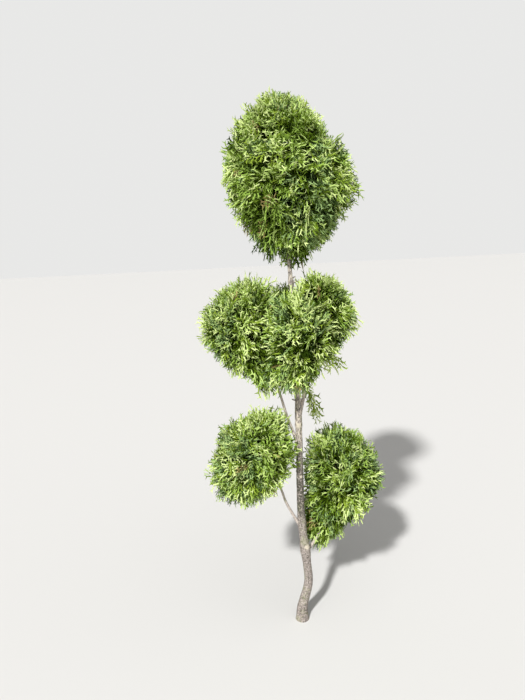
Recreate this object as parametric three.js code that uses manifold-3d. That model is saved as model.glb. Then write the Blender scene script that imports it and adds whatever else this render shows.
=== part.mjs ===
// A garden thuja clipped into balls of foliage on three levels, rooted in open ground.
// Millimetres, +Z up. The origin is the middle of the trunk's flat cut at ground level,
// and the plant is seen from the front when looking along +Y.
import * as THREE from "three";
import { mergeVertices } from "three/addons/utils/BufferGeometryUtils.js";
import Module from "manifold-3d";

const wasm = await Module();
wasm.setup();

// Trunk and boughs
const TRUNK_TIP = 1412; // the leader ends inside the top ball
const TRUNK_RADIUS = 13; // just above the root flare
const TRUNK_TIP_RADIUS = 2.2;
const TRUNK_TAPER = 0.85; // power of the taper, below 1 for a trunk that thins mostly near its tip
const ROOT_FLARE = 7; // added to the radius at the ground
const ROOT_FLARE_HEIGHT = 38;
const TRUNK_SIDES = 8;
const TRUNK_STEPS = 36;
const BOUGH_SIDES = 6;
const BOUGH_STEPS = 8;
const GAP = 0.3; // clearance where one piece is seated on another

// Foliage
const TWIG_SPACING = 134; // distance between neighbouring twigs over a ball's surface
const LEAFY_DEPTH = 30; // depth of the open layer of sprays outside a mass's dense core
const ROOT_DEPTH = 22; // how far a spray's root is sunk in the core
const CORE_MARGIN = 3; // keeps a core off the trunk and off the next mass
const CORE_DETAIL = 2;
const SPACE_GAP = 0.6; // each mass stays this far inside its own space
const SPRAY_WIDTH = 0.72; // width of a spray as a share of its length
const SPRAY_THICKNESS = 0.04; // thickness of a spray as a share of its length
const SPRAY_STALK = 0.1; // width of a spray's root as a share of its widest part
const SPRAY_STAGGER = 0.05; // teeth are set this share of the length higher on one side
const SPRAY_REACH = [0.94, 1]; // sprays end at this share of the way to the ball's outline
const SPRAY_LIFT = [-0.45, 0.25]; // sprays hang at the bottom of a ball and rise at its top
const SPRAY_ROLL = THREE.MathUtils.degToRad(63); // most that a twig's fan is turned off the upright
const SIDE_SPRAY_ANGLE = THREE.MathUtils.degToRad(46);
const SIDE_SPRAY_TWIST = THREE.MathUtils.degToRad(24); // a side spray is turned about its own middle line
const SIDE_SPRAY_OFFSET = 3.5; // distance between the roots of a twig's sprays
const TWIG_RADIUS = 2.6;
const TWIG_STANDOUT = 18; // how far a twig stands out of the core
const TOP_STEM_RADIUS = 2.4;
const STEM_STRAIGHT = 14; // a stem runs straight on from its limb this far before it bends

// The trunk's sideways sweep, as [x, y, share of its height]: an elbow above the roots, then nearly
// upright, with the leader leaning a little to the left inside the top ball.
const TRUNK_SWEEP = [
  [0, 0, 0],
  [1, 0, 0.026],
  [22, -2, 0.086],
  [19, -3, 0.135],
  [9, 0, 0.225],
  [10, 4, 0.37],
  [12, 3, 0.5],
  [6, -2, 0.7],
  [-6, 0, 0.84],
  [-13, 2, 0.94],
  [-12, 2, 1],
];
// Swellings where a limb leaves or was cut, as [height, added radius, half length]
const TRUNK_SWELLINGS = [
  [228, 3.6, 26],
  [312, 1.6, 22],
  [552, 1.2, 20],
  [607, 1.6, 9],
  [640, 1.4, 24],
  [1008, 2.4, 11],
];
// Short stubs left where twigs were cut off the trunk, as [height, turn in degrees, length, radius]
const TRUNK_STUBS = [
  [1004, -20, 10, 2.2],
  [1016, 35, 8, 1.8],
  [676, 200, 9, 2.0],
  [455, 120, 8, 2.2],
  [372, 20, 9, 2.4],
];

// Balls of foliage. power is 2 for a round outline and less for a lozenge, egg widens the upper half, and
// shift moves the bottom and the top towards +X, as shares of the half height.
const BALLS = [
  {
    level: "top",
    centre: [16, 0, 1277],
    radii: [184, 172, 223],
    power: 1.65,
    egg: 0.02,
    shift: [-0.04, -0.1],
  },
  {
    level: "middle",
    side: "left",
    centre: [-138, -8, 876],
    radii: [118, 112, 150],
    power: 2,
    egg: 0.08,
    shift: [0.4, 0.2],
  },
  {
    level: "middle",
    side: "right",
    centre: [106, 18, 914],
    radii: [92, 100, 122],
    power: 2,
    egg: 0.06,
    shift: [-0.05, -0.15],
  },
  {
    level: "middle",
    side: "front",
    centre: [14, -92, 854],
    radii: [98, 88, 138],
    power: 2,
    egg: 0.04,
    shift: [0, 0],
  },
  {
    level: "middle",
    side: "back",
    centre: [-14, 112, 868],
    radii: [112, 92, 134],
    power: 2,
    egg: 0.06,
    shift: [0, 0],
  },
  {
    level: "lower",
    side: "left",
    centre: [-124, -12, 516],
    radii: [128, 118, 147],
    power: 2,
    egg: 0,
    shift: [-0.2, 0.2],
  },
  {
    level: "lower",
    side: "right",
    centre: [148, 72, 390],
    radii: [126, 118, 202],
    power: 2,
    egg: 0.16,
    shift: [-0.55, -0.1],
  },
];

// Boughs that carry the lower and middle balls, from the trunk's line to the bough's tip, which is where
// it enters the foliage. radius is at the foot and at the tip.
const BOUGHS = [
  {
    level: "lower",
    side: "left",
    points: [[9, 0, 292], [-14, -3, 336], [-35, -8, 382], [-48, -10, 424], [-64, -11, 452]],
    radius: [4.4, 2.7],
  },
  {
    level: "lower",
    side: "right",
    points: [[17, 0, 214], [36, 14, 230], [54, 28, 246], [66, 36, 264]],
    radius: [6.2, 4.4],
  },
  {
    level: "middle",
    side: "left",
    points: [[10, 3, 536], [-6, 0, 590], [-22, -4, 640], [-40, -6, 708], [-56, -7, 748]],
    radius: [4.2, 3.0],
  },
  {
    level: "middle",
    side: "right",
    points: [[13, 4, 632], [28, 9, 684], [36, 12, 740], [50, 15, 800], [66, 16, 838]],
    radius: [5.2, 3.4],
  },
  {
    level: "middle",
    side: "front",
    points: [[11, 2, 742], [12, -18, 776], [13, -42, 806]],
    radius: [4.6, 3.6],
  },
  {
    level: "middle",
    side: "back",
    points: [[11, 2, 716], [6, 26, 756], [-2, 56, 800]],
    radius: [4.6, 3.4],
  },
];

// The top ball is a ring of masses round the leader, with a cap over its tip. size sets how the space
// between two neighbours is shared.
const TOP_RING = {
  height: 1262,
  offset: 70,
  size: 100,
  turns: { front_left: 225, front_right: 315, back_right: 45, back_left: 135 },
};
const TOP_CAP = { height: 1434, size: 14 };

const BARK = new THREE.MeshStandardMaterial({ color: 0x8a7a68, roughness: 0.95, metalness: 0 });
const FOLIAGE = new THREE.MeshStandardMaterial({ color: 0x5f8a34, roughness: 0.75, metalness: 0 });

const UP = new THREE.Vector3(0, 0, 1);
const vector = (point) => new THREE.Vector3(...point);

// A small seeded generator, so that the plant grows the same way each time
function seededRandom(seed) {
  let state = seed >>> 0;
  return () => {
    state = (Math.imul(1664525, state) + 1013904223) >>> 0;
    return state / 2 ** 32;
  };
}

// Solids and geometry
function toSolid(geometry) {
  const bare = geometry.clone();
  bare.deleteAttribute("normal");
  bare.deleteAttribute("uv");
  const merged = mergeVertices(bare, 1e-3);
  return new wasm.Manifold(
    new wasm.Mesh({
      numProp: 3,
      vertProperties: merged.attributes.position.array,
      triVerts: new Uint32Array(merged.index.array),
    }),
  );
}

function toGeometry(solid) {
  const { vertProperties, triVerts } = solid.getMesh();
  const geometry = new THREE.BufferGeometry();
  geometry.setAttribute("position", new THREE.BufferAttribute(new Float32Array(vertProperties), 3));
  geometry.setIndex(new THREE.BufferAttribute(new Uint32Array(triVerts), 1));
  geometry.computeVertexNormals();
  return geometry;
}

// Whether a solid is one body with no pocket sealed inside it, nowhere touching itself at a corner or an edge
function isSound(solid) {
  const merged = mergeVertices(toGeometry(solid).deleteAttribute("normal"), 1e-3);
  const corner = merged.index.array;
  const faces = new Map();
  for (let i = 0; i < corner.length; i++) {
    const next = i % 3 === 2 ? i - 2 : i + 1;
    const edge = [corner[i], corner[next]].sort((a, b) => a - b).join(" ");
    faces.set(edge, (faces.get(edge) ?? 0) + 1);
  }
  return (
    solid.decompose().length === 1 &&
    merged.attributes.position.count === solid.numVert() &&
    [...faces.values()].every((count) => count === 2)
  );
}

// A limb is a unit cylinder laid along a line, with its own radius at each share of the length. level keeps
// its rings horizontal, for the trunk's flat cut.
function limbGeometry(line, radiusAt, sides, steps, level = false) {
  const geometry = new THREE.CylinderGeometry(1, 1, 1, sides, steps);
  const run = line.getPointAt(1).sub(line.getPointAt(0)).normalize();
  const reference = Math.abs(run.x) < 0.8 ? new THREE.Vector3(1, 0, 0) : new THREE.Vector3(0, 1, 0);
  const position = geometry.attributes.position;
  for (let i = 0; i < position.count; i++) {
    const share = THREE.MathUtils.clamp(position.getY(i) + 0.5, 0, 1);
    const along = level ? UP : line.getTangentAt(share);
    const across = reference.clone().addScaledVector(along, -reference.dot(along)).normalize();
    const third = new THREE.Vector3().crossVectors(across, along);
    const radius = radiusAt(share);
    const point = line
      .getPointAt(share)
      .addScaledVector(across, position.getX(i) * radius)
      .addScaledVector(third, position.getZ(i) * radius);
    position.setXYZ(i, point.x, point.y, point.z);
  }
  return geometry;
}

const smoothLine = (points) => new THREE.CatmullRomCurve3(points, false, "centripetal");

// Trunk
const trunkLine = smoothLine(TRUNK_SWEEP.map(([x, y, share]) => new THREE.Vector3(x, y, share * TRUNK_TIP)));

function trunkRadiusAtHeight(height) {
  const taper = TRUNK_RADIUS * (1 - height / (TRUNK_TIP * 1.12)) ** TRUNK_TAPER;
  const flare = ROOT_FLARE * Math.exp(-height / ROOT_FLARE_HEIGHT);
  const swelling = TRUNK_SWELLINGS.reduce(
    (sum, [centre, added, half]) => sum + added * Math.exp(-(((height - centre) / half) ** 2)),
    0,
  );
  return Math.max(taper, TRUNK_TIP_RADIUS) + flare + swelling;
}

// The point of the trunk's line at a height, found by halving
function trunkAtHeight(height) {
  let low = 0;
  let high = 1;
  for (let i = 0; i < 40; i++) {
    const middle = (low + high) / 2;
    if (trunkLine.getPointAt(middle).z < height) low = middle;
    else high = middle;
  }
  return trunkLine.getPointAt(low);
}

function makeTrunk(grow) {
  const radiusAt = (share) => trunkRadiusAtHeight(trunkLine.getPointAt(share).z) + grow;
  return toSolid(limbGeometry(trunkLine, radiusAt, TRUNK_SIDES, TRUNK_STEPS, true));
}

function makeStub([height, turn, length, radius], grow) {
  const start = trunkAtHeight(height);
  const angle = THREE.MathUtils.degToRad(turn);
  const reach = trunkRadiusAtHeight(height) + length;
  const rise = reach * 0.45;
  const end = start.clone().add(new THREE.Vector3(Math.cos(angle) * reach, Math.sin(angle) * reach, rise));
  return toSolid(limbGeometry(new THREE.LineCurve3(start, end), () => radius + grow, 5, 1));
}

const makeTrunkWithStubs = (grow) =>
  wasm.Manifold.union([makeTrunk(grow), ...TRUNK_STUBS.map((stub) => makeStub(stub, grow))]);

// Boughs
const boughLine = (bough) => smoothLine(bough.points.map(vector));

function boughRadiusAt(bough, share) {
  const [foot, tip] = bough.radius;
  const collar = foot * 0.5 * Math.exp(-share / 0.08);
  return THREE.MathUtils.lerp(foot, tip, share) + collar;
}

function makeBough(bough, grow) {
  const radiusAt = (share) => boughRadiusAt(bough, share) + grow;
  return toSolid(limbGeometry(boughLine(bough), radiusAt, BOUGH_SIDES, BOUGH_STEPS));
}

// The bough's foot is cut round the trunk, and the bit left on the trunk's far side is dropped.
function seatBough(bough, grownTrunk) {
  const pieces = makeBough(bough, 0).subtract(grownTrunk).decompose();
  return pieces.reduce((largest, piece) => (piece.volume() > largest.volume() ? piece : largest));
}

// How far a ball's middle is shifted sideways, at a height given as a share of its half height
const shiftAt = ({ shift, radii }, up) => (up < 0 ? -shift[0] : shift[1]) * up * radii[2];

// The space of a ball: below 1 inside, 1 on its outline
function ballValue(ball, point) {
  const [rx, ry, rz] = ball.radii;
  const up = (point.z - ball.centre[2]) / rz;
  const width = 1 + ball.egg * THREE.MathUtils.clamp(up, -1, 1);
  const x = (point.x - ball.centre[0] - shiftAt(ball, up)) / (rx * width);
  const y = (point.y - ball.centre[1]) / (ry * width);
  return (Math.hypot(x, y) ** ball.power + Math.abs(up) ** ball.power) ** (1 / ball.power);
}

// The point of a ball's outline for a unit direction
function ballPoint(ball, u) {
  const [rx, ry, rz] = ball.radii;
  const scale = (Math.hypot(u.x, u.y) ** ball.power + Math.abs(u.z) ** ball.power) ** (-1 / ball.power);
  const up = u.z * scale;
  const width = (1 + ball.egg * up) * scale;
  const offset = new THREE.Vector3(u.x * rx * width + shiftAt(ball, up), u.y * ry * width, up * rz);
  return vector(ball.centre).add(offset);
}

// Distance from a point inside a ball to its outline, found by halving
function ballReach(ball, from, direction) {
  let low = 0;
  let high = 2 * Math.max(...ball.radii);
  for (let i = 0; i < 40; i++) {
    const middle = (low + high) / 2;
    if (ballValue(ball, from.clone().addScaledVector(direction, middle)) < 1) low = middle;
    else high = middle;
  }
  return low;
}

// Masses: the spaces that the foliage is shared out to. entry is where the mass's stem starts, and heading
// is the way it sets off.
function topMasses(ball) {
  const { height, offset, size, turns } = TOP_RING;
  const leader = trunkAtHeight(height);
  const ring = Object.entries(turns).map(([side, degrees]) => {
    const angle = THREE.MathUtils.degToRad(degrees);
    const out = new THREE.Vector3(Math.cos(angle), Math.sin(angle), 0);
    return {
      name: `foliage_top_${side}`,
      ball,
      size,
      centre: leader.clone().addScaledVector(out, offset),
      entry: leader.clone().addScaledVector(out, trunkRadiusAtHeight(height)),
      heading: out,
      stemRadius: TOP_STEM_RADIUS,
    };
  });
  const tip = trunkLine.getPointAt(1);
  const cap = {
    name: "foliage_top_cap",
    ball,
    size: TOP_CAP.size,
    centre: new THREE.Vector3(tip.x, tip.y, TOP_CAP.height),
    entry: tip,
    heading: UP,
    stemRadius: TOP_STEM_RADIUS,
  };
  return [...ring, cap];
}

function boughMass(ball) {
  const bough = BOUGHS.find(({ level, side }) => level === ball.level && side === ball.side);
  const line = boughLine(bough);
  return {
    name: `foliage_${ball.level}_${ball.side}`,
    ball,
    size: 1,
    centre: vector(ball.centre),
    entry: line.getPointAt(1),
    heading: line.getTangentAt(1),
    stemRadius: boughRadiusAt(bough, 1),
  };
}

// Half of a ball's extent along a direction
const ballExtent = ({ radii: [rx, ry, rz] }, n) => Math.hypot(rx * n.x, ry * n.y, rz * n.z);

// A plane across the line from one centre to another, where the first one's space ends
function planeBetween(from, to, sizeFrom, sizeTo) {
  const normal = to.clone().sub(from).normalize();
  const own = sizeFrom(normal);
  return { normal, point: from.clone().lerp(to, own / (own + sizeTo(normal))), gap: SPACE_GAP };
}

// The planes that bound a mass: one towards each other ball, and one towards each other mass of its own ball
function planesOf(mass, masses) {
  const balls = BALLS.filter((ball) => ball !== mass.ball).map((ball) =>
    planeBetween(
      vector(mass.ball.centre),
      vector(ball.centre),
      (n) => ballExtent(mass.ball, n),
      (n) => ballExtent(ball, n),
    ),
  );
  const siblings = masses
    .filter((other) => other !== mass && other.ball === mass.ball)
    .map((other) => planeBetween(mass.centre, other.centre, () => mass.size, () => other.size));
  return [...balls, ...siblings];
}

const inside = (planes, point) =>
  planes.every(({ normal, point: on, gap }) => point.clone().sub(on).dot(normal) <= -gap);

// How far a core reaches in a direction: short of the outline, of every plane and of where the stem starts
function coreReach(mass, direction) {
  const start = { normal: mass.heading.clone().negate(), point: mass.entry, gap: GAP };
  let reach = ballReach(mass.ball, mass.centre, direction) - LEAFY_DEPTH;
  for (const { normal, point, gap } of [...mass.planes, start]) {
    const facing = direction.dot(normal);
    const room = point.clone().sub(mass.centre).dot(normal) - gap - CORE_MARGIN;
    if (facing > 1e-6) reach = Math.min(reach, room / facing);
  }
  return reach;
}

function makeCore(mass) {
  const geometry = new THREE.IcosahedronGeometry(1, CORE_DETAIL);
  const position = geometry.attributes.position;
  for (let i = 0; i < position.count; i++) {
    const direction = new THREE.Vector3().fromBufferAttribute(position, i).normalize();
    const placed = mass.centre.clone().addScaledVector(direction, coreReach(mass, direction));
    position.setXYZ(i, placed.x, placed.y, placed.z);
  }
  return toSolid(geometry);
}

// A stem runs from the bough's tip or the trunk's side, straight on at first, to the middle of its mass.
function makeStem({ entry, heading, centre, stemRadius }) {
  const start = entry.clone().addScaledVector(heading, GAP);
  const bend = entry.clone().addScaledVector(heading, STEM_STRAIGHT);
  return toSolid(limbGeometry(smoothLine([start, bend, centre]), () => stemRadius, 6, 4));
}

// A spray is a thin toothed blade of flat scale leaves, with its teeth set alternately, drawn along +Y.
function sprayShape(length) {
  const half = (length * SPRAY_WIDTH) / 2;
  const teeth = [
    [0.7, 1],
    [0.74, 0.4],
  ];
  const side = (sign) =>
    teeth.map(
      ([along, across]) => new THREE.Vector2(sign * across * half, (along + sign * SPRAY_STAGGER) * length),
    );
  return new THREE.Shape([
    new THREE.Vector2(half * SPRAY_STALK, 0),
    ...side(1),
    new THREE.Vector2(0, length),
    ...side(-1).reverse(),
    new THREE.Vector2(-half * SPRAY_STALK, 0),
  ]);
}

function sprayGeometry({ root, along, across, length }) {
  const depth = SPRAY_THICKNESS * length;
  const normal = new THREE.Vector3().crossVectors(across, along);
  return new THREE.ExtrudeGeometry(sprayShape(length), { depth, bevelEnabled: false })
    .translate(0, 0, -depth / 2)
    .applyMatrix4(new THREE.Matrix4().makeBasis(across, along, normal).setPosition(root));
}

// Twigs run from a mass's middle to even places on its ball's outline, on a golden-angle spiral.
function twigsOf(ball, random) {
  const [rx, ry, rz] = ball.radii;
  const area = (4 * Math.PI * (rx * ry + ry * rz + rz * rx)) / 3;
  const count = Math.round(area / TWIG_SPACING ** 2);
  const goldenAngle = Math.PI * (3 - Math.sqrt(5));
  return Array.from({ length: count }, (_, i) => {
    const z = 1 - (2 * (i + 0.5)) / count;
    const turn = i * goldenAngle + (random() - 0.5) * 0.3;
    const ring = Math.sqrt(1 - z * z);
    return {
      target: ballPoint(ball, new THREE.Vector3(ring * Math.cos(turn), ring * Math.sin(turn), z)),
      lift: THREE.MathUtils.lerp(...SPRAY_LIFT, (z + 1) / 2),
      roll: (2 * random() - 1) * SPRAY_ROLL,
      reach: THREE.MathUtils.lerp(...SPRAY_REACH, random()),
    };
  });
}

// A twig carries a fan of three sprays: one straight on, and one on each side.
function spraysOf(mass, { target, lift, roll, reach }) {
  const radial = target.clone().sub(mass.centre).normalize();
  const rootAt = coreReach(mass, radial) - ROOT_DEPTH;
  const along = radial.clone().addScaledVector(UP, lift).normalize();
  const upright = UP.clone().addScaledVector(along, -along.z);
  if (upright.length() < 0.2) upright.set(1, 0, 0).addScaledVector(along, -along.x);
  const across = upright.normalize().applyAxisAngle(along, roll);
  const normal = new THREE.Vector3().crossVectors(along, across);
  return [0, 1, -1].map((side) => {
    const heading = along.clone().applyAxisAngle(normal, side * SIDE_SPRAY_ANGLE);
    const root = mass.centre
      .clone()
      .addScaledVector(radial, rootAt)
      .addScaledVector(across, side * SIDE_SPRAY_OFFSET)
      .addScaledVector(normal, Math.abs(side) * SIDE_SPRAY_OFFSET * 0.4);
    const twist = side * SIDE_SPRAY_TWIST;
    return {
      root,
      along: heading,
      across: new THREE.Vector3().crossVectors(normal, heading).applyAxisAngle(heading, twist),
      length: ballReach(mass.ball, root, heading) * reach,
    };
  });
}

function twigGeometry(mass, { target }) {
  const radial = target.clone().sub(mass.centre).normalize();
  const reach = coreReach(mass, radial);
  const from = mass.centre.clone().addScaledVector(radial, reach - ROOT_DEPTH);
  const to = mass.centre.clone().addScaledVector(radial, reach + TWIG_STANDOUT);
  return limbGeometry(new THREE.LineCurve3(from, to), () => TWIG_RADIUS, 3, 1);
}

function fitsSpace(mass, geometry) {
  const position = geometry.attributes.position;
  for (let i = 0; i < position.count; i++) {
    const point = new THREE.Vector3().fromBufferAttribute(position, i);
    if (!inside(mass.planes, point) || ballValue(mass.ball, point) > 1.02) return false;
  }
  return true;
}

// A twig or spray that would leave the mass's space or touch a limb is skipped, and so is one that would
// hang loose or seal a pocket once it is fused.
function makeMass(mass, twigs, grownLimbs) {
  let body = makeCore(mass).add(makeStem(mass));
  const own = twigs.filter(({ target }) => inside(mass.planes, target));
  for (const twig of own) {
    for (const geometry of [twigGeometry(mass, twig), ...spraysOf(mass, twig).map(sprayGeometry)]) {
      if (!fitsSpace(mass, geometry)) continue;
      const solid = toSolid(geometry);
      if (!solid.intersect(grownLimbs).isEmpty()) continue;
      const joined = body.add(solid);
      if (isSound(joined)) body = joined;
    }
  }
  return body;
}

// The whole plant
const thuja = new THREE.Group();
thuja.name = "thuja";

function addNode(name, solid, material) {
  const mesh = new THREE.Mesh(toGeometry(solid), material);
  mesh.name = name;
  thuja.add(mesh);
}

const grownTrunk = makeTrunkWithStubs(GAP);
addNode("trunk", makeTrunkWithStubs(0), BARK);
for (const bough of BOUGHS) addNode(`bough_${bough.level}_${bough.side}`, seatBough(bough, grownTrunk), BARK);

const grownLimbs = wasm.Manifold.union([grownTrunk, ...BOUGHS.map((bough) => makeBough(bough, GAP))]);
const masses = BALLS.flatMap((ball) => (ball.level === "top" ? topMasses(ball) : [boughMass(ball)]));
for (const mass of masses) mass.planes = planesOf(mass, masses);

BALLS.forEach((ball, i) => {
  const twigs = twigsOf(ball, seededRandom(i + 11));
  for (const mass of masses.filter((each) => each.ball === ball)) {
    addNode(mass.name, makeMass(mass, twigs, grownLimbs), FOLIAGE);
  }
});

export default thuja;
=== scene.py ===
# A garden thuja clipped into balls of foliage on three levels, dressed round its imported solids.
# Metres, +Z up. The origin is the middle of the trunk's foot, and the plant is seen from the front along +Y.
import math

import bpy
import numpy as np
from mathutils import Matrix, Vector


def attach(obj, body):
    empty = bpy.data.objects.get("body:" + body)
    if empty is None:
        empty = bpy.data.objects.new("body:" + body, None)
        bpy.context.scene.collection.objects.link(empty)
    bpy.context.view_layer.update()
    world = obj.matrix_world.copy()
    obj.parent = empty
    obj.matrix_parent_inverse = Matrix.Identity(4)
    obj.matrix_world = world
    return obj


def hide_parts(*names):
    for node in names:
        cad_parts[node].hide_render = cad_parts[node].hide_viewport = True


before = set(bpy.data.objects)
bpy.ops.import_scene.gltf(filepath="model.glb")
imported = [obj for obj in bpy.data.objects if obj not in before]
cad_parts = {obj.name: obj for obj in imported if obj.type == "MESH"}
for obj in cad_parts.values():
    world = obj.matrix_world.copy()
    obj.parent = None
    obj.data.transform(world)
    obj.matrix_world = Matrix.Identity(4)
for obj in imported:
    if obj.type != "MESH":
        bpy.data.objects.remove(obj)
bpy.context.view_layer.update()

# Camera. The view is from 1.4 m in front of the trunk, at chest height, looking a little down, with the
# picture turned by some three degrees.
EYE = Vector((-0.0803, -1.4349, 1.08))
EYE_PITCH = math.radians(10)
EYE_ROLL = math.radians(2.86)
PICTURE_HEIGHT = 36  # mm
LENS = 27.26  # mm

camera_data = bpy.data.cameras.new("camera")
camera_data.sensor_width = PICTURE_HEIGHT
camera_data.lens = LENS
camera = bpy.data.objects.new("camera", camera_data)
bpy.context.scene.collection.objects.link(camera)
level_view = Matrix.Rotation(math.radians(90) - EYE_PITCH, 4, "X")
camera.matrix_world = Matrix.Translation(EYE) @ level_view @ Matrix.Rotation(-EYE_ROLL, 4, "Z")
bpy.context.scene.camera = camera

# Trunk. One upright stem of soft fibrous bark from the flat cut at the ground to its thin tip in the top
# ball, with an elbow above the root flare, swellings where limbs leave it, and short stubs of cut twigs.
TRUNK_TIP = 1.412
TRUNK_RADIUS = 0.013  # just above the root flare
TRUNK_TIP_RADIUS = 0.0022
TRUNK_TAPER = 0.85
TAPER_RUN = 1.12  # the taper would run out at this share of the trunk's height
ROOT_FLARE = 0.007
ROOT_FLARE_HEIGHT = 0.038
TRUNK_SWEEP = [  # [x, y, share of the height]
    [0, 0, 0],
    [0.001, 0, 0.026],
    [0.022, -0.002, 0.086],
    [0.019, -0.003, 0.135],
    [0.009, 0, 0.225],
    [0.010, 0.004, 0.37],
    [0.012, 0.003, 0.5],
    [0.006, -0.002, 0.7],
    [-0.006, 0, 0.84],
    [-0.013, 0.002, 0.94],
    [-0.012, 0.002, 1],
]
TRUNK_SWELLINGS = [  # [height, added radius, half length]
    [0.228, 0.0036, 0.026],
    [0.312, 0.0016, 0.022],
    [0.552, 0.0012, 0.020],
    [0.607, 0.0016, 0.009],
    [0.640, 0.0014, 0.024],
    [1.008, 0.0024, 0.011],
]
TRUNK_STUBS = [  # [height, turn in degrees, length, radius]
    [1.004, -20, 0.010, 0.0022],
    [1.016, 35, 0.008, 0.0018],
    [0.676, 200, 0.009, 0.0020],
    [0.455, 120, 0.008, 0.0022],
    [0.372, 20, 0.009, 0.0024],
]
STUB_RISE = 0.45
STUB_TAPER = (1.2, 0.8)
KNOT_SCARS = [  # pale scars on the bark, as [height, turn in degrees, radius]
    [0.607, 262, 0.0075],
    [0.240, 300, 0.0085],
    [0.455, 290, 0.0050],
]
TRUNK_SIDES = 36
RING_SPACING = 0.0035
CURVE_STEPS = 24  # between two corners of a limb
BARK_DEPTH = 0.0011
BARK_RIDGE = 0.0042  # width of a ridge of bark
BARK_STRETCH = 0.30  # ridges are this much narrower than long
BARK_TICKS = 1.7  # the fine cross wrinkles are this much wider than high
BARK_BUMP = {"Strength": 0.7, "Distance": 0.0012}
BARK_GLOSS = 0.3
RIDGE_SHEEN = 0.2  # how much smoother the ridges are than the furrows
SCALE_SIZE = 0.0038
FIBRE_SIZE = 0.0014
PATCH_SIZE = 0.030
FLECK_SIZE = 0.0050
FLAKE_SIZE = 0.0034
SPECKLE_SIZE = 0.0055
BROWN_FROM = (0.38, 0.48)  # the relief turns from furrow to brown, grey and cream between these values
GREY_FROM = (0.44, 0.53)
CREAM_FROM = (0.62, 0.72)
PATCH_SHARE = 0.25
LICHEN_FROM = (0.76, 0.90)
LICHEN_SHARE = 0.4
FLAKE_FROM = (0.50, 0.57)
FLAKE_SHARE = 0.9
SPECKLE_FROM = (0.45, 0.53)
SPECKLE_SHARE = 0.75  # of the painted shade's dark colour, which also lies all over
FURROW_BROWN = (0.058, 0.048, 0.036)
BARK_BROWN = (0.185, 0.158, 0.135)
BARK_GREY = (0.320, 0.280, 0.254)
BARK_CREAM = (0.520, 0.455, 0.400)
FLAKE_AND_LIGHT_CREAM = (0.680, 0.600, 0.500)
LICHEN_GREEN = (0.200, 0.225, 0.095)
# Painted shade: the trunk darkens towards this colour between the lower balls, where their foliage shades it.
PAINTED_SHADE_GREEN = (0.030, 0.034, 0.018)
PAINTED_SHADE_HEIGHTS = (0.29, 0.37, 0.41, 0.54)  # heights where painted shade darkens the trunk, and where it fades again
FLAKE_AND_LIGHT_HEIGHTS = (0.50, 0.62)  # above these heights the bark peels in long pale flakes, which are partly painted light that brightens the upper trunk
SCAR_CREAM = (0.640, 0.570, 0.450)
SCAR_EDGE = (0.9, 1.7)  # where a scar starts to fade and where it ends, by its radius
SCAR_RAGGEDNESS = 0.8
SCAR_SHARE = 0.85


class Socket:
    """One output of a node. Python's operators on it add Math nodes, and node() adds any other node."""

    def __init__(self, tree, output=None):
        self.tree = tree
        self.output = output

    def node(self, kind, settings=None, inputs=None, output=0):
        made = self.tree.nodes.new(kind)
        for name, value in (settings or {}).items():
            setattr(made, name, value)
        for name, value in (inputs or {}).items():
            if isinstance(value, Socket):
                self.tree.links.new(value.output, made.inputs[name])
            else:
                made.inputs[name].default_value = value
        return Socket(self.tree, made.outputs[output] if made.outputs else None)

    def maths(self, operation, *values):
        return self.node("ShaderNodeMath", {"operation": operation}, dict(enumerate(values)))

    def vector(self, operation, *values):
        return self.node("ShaderNodeVectorMath", {"operation": operation}, dict(enumerate(values)))

    def scaled(self, share):
        return self.node("ShaderNodeVectorMath", {"operation": "SCALE"}, {"Vector": self, "Scale": share})

    def __add__(self, other):
        return self.maths("ADD", self, other)

    def __sub__(self, other):
        return self.maths("SUBTRACT", self, other)

    def __rsub__(self, other):
        return self.maths("SUBTRACT", other, self)

    def __mul__(self, other):
        return self.maths("MULTIPLY", self, other)

    def __rtruediv__(self, other):
        return self.maths("DIVIDE", other, self)

    def __abs__(self):
        return self.maths("ABSOLUTE", self)

    __radd__ = __add__
    __rmul__ = __mul__


def node_tree(name, sockets):
    """An empty Geometry Nodes tree with these inputs after its geometry, and a reader for each of them."""
    tree = bpy.data.node_groups.new(name, "GeometryNodeTree")
    tree.interface.new_socket("Geometry", in_out="INPUT", socket_type="NodeSocketGeometry")
    tree.interface.new_socket("Geometry", in_out="OUTPUT", socket_type="NodeSocketGeometry")
    for label, kind in sockets.items():
        tree.interface.new_socket(label, in_out="INPUT", socket_type=f"NodeSocket{kind}")
    group = tree.nodes.new("NodeGroupInput")
    return tree, {socket.name: Socket(tree, socket) for socket in group.outputs if socket.name}


def read_attribute(tree, name, kind="FLOAT"):
    return Socket(tree).node("GeometryNodeInputNamedAttribute", {"data_type": kind}, {"Name": name})


def store_attribute(geometry, name, value, kind="FLOAT"):
    return geometry.node(
        "GeometryNodeStoreNamedAttribute",
        {"data_type": kind, "domain": "POINT"},
        {"Geometry": geometry, "Name": name, "Value": value},
    )


def end_tree(geometry, material):
    """Realizes what a tree made and gives it its material."""
    real = geometry.node("GeometryNodeRealizeInstances", inputs={"Geometry": geometry})
    dressed = real.node("GeometryNodeSetMaterial", inputs={"Geometry": real, "Material": material})
    out = geometry.tree.nodes.new("NodeGroupOutput")
    geometry.tree.links.new(dressed.output, out.inputs[0])


def grown_piece(name, mesh, tree, values):
    """The piece that a tree makes from a starting mesh, as a plain mesh with no modifier left on it."""
    piece = bpy.data.objects.new(name, mesh)
    bpy.context.scene.collection.objects.link(piece)
    modifier = piece.modifiers.new(tree.name, "NODES")
    modifier.node_group = tree
    for item in tree.interface.items_tree:
        if item.in_out == "INPUT" and item.name in values:
            modifier[item.identifier] = values[item.name]
    depsgraph = bpy.context.evaluated_depsgraph_get()
    made = bpy.data.meshes.new_from_object(piece.evaluated_get(depsgraph), depsgraph=depsgraph)
    piece.modifiers.clear()
    piece.data = made
    return piece


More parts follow.
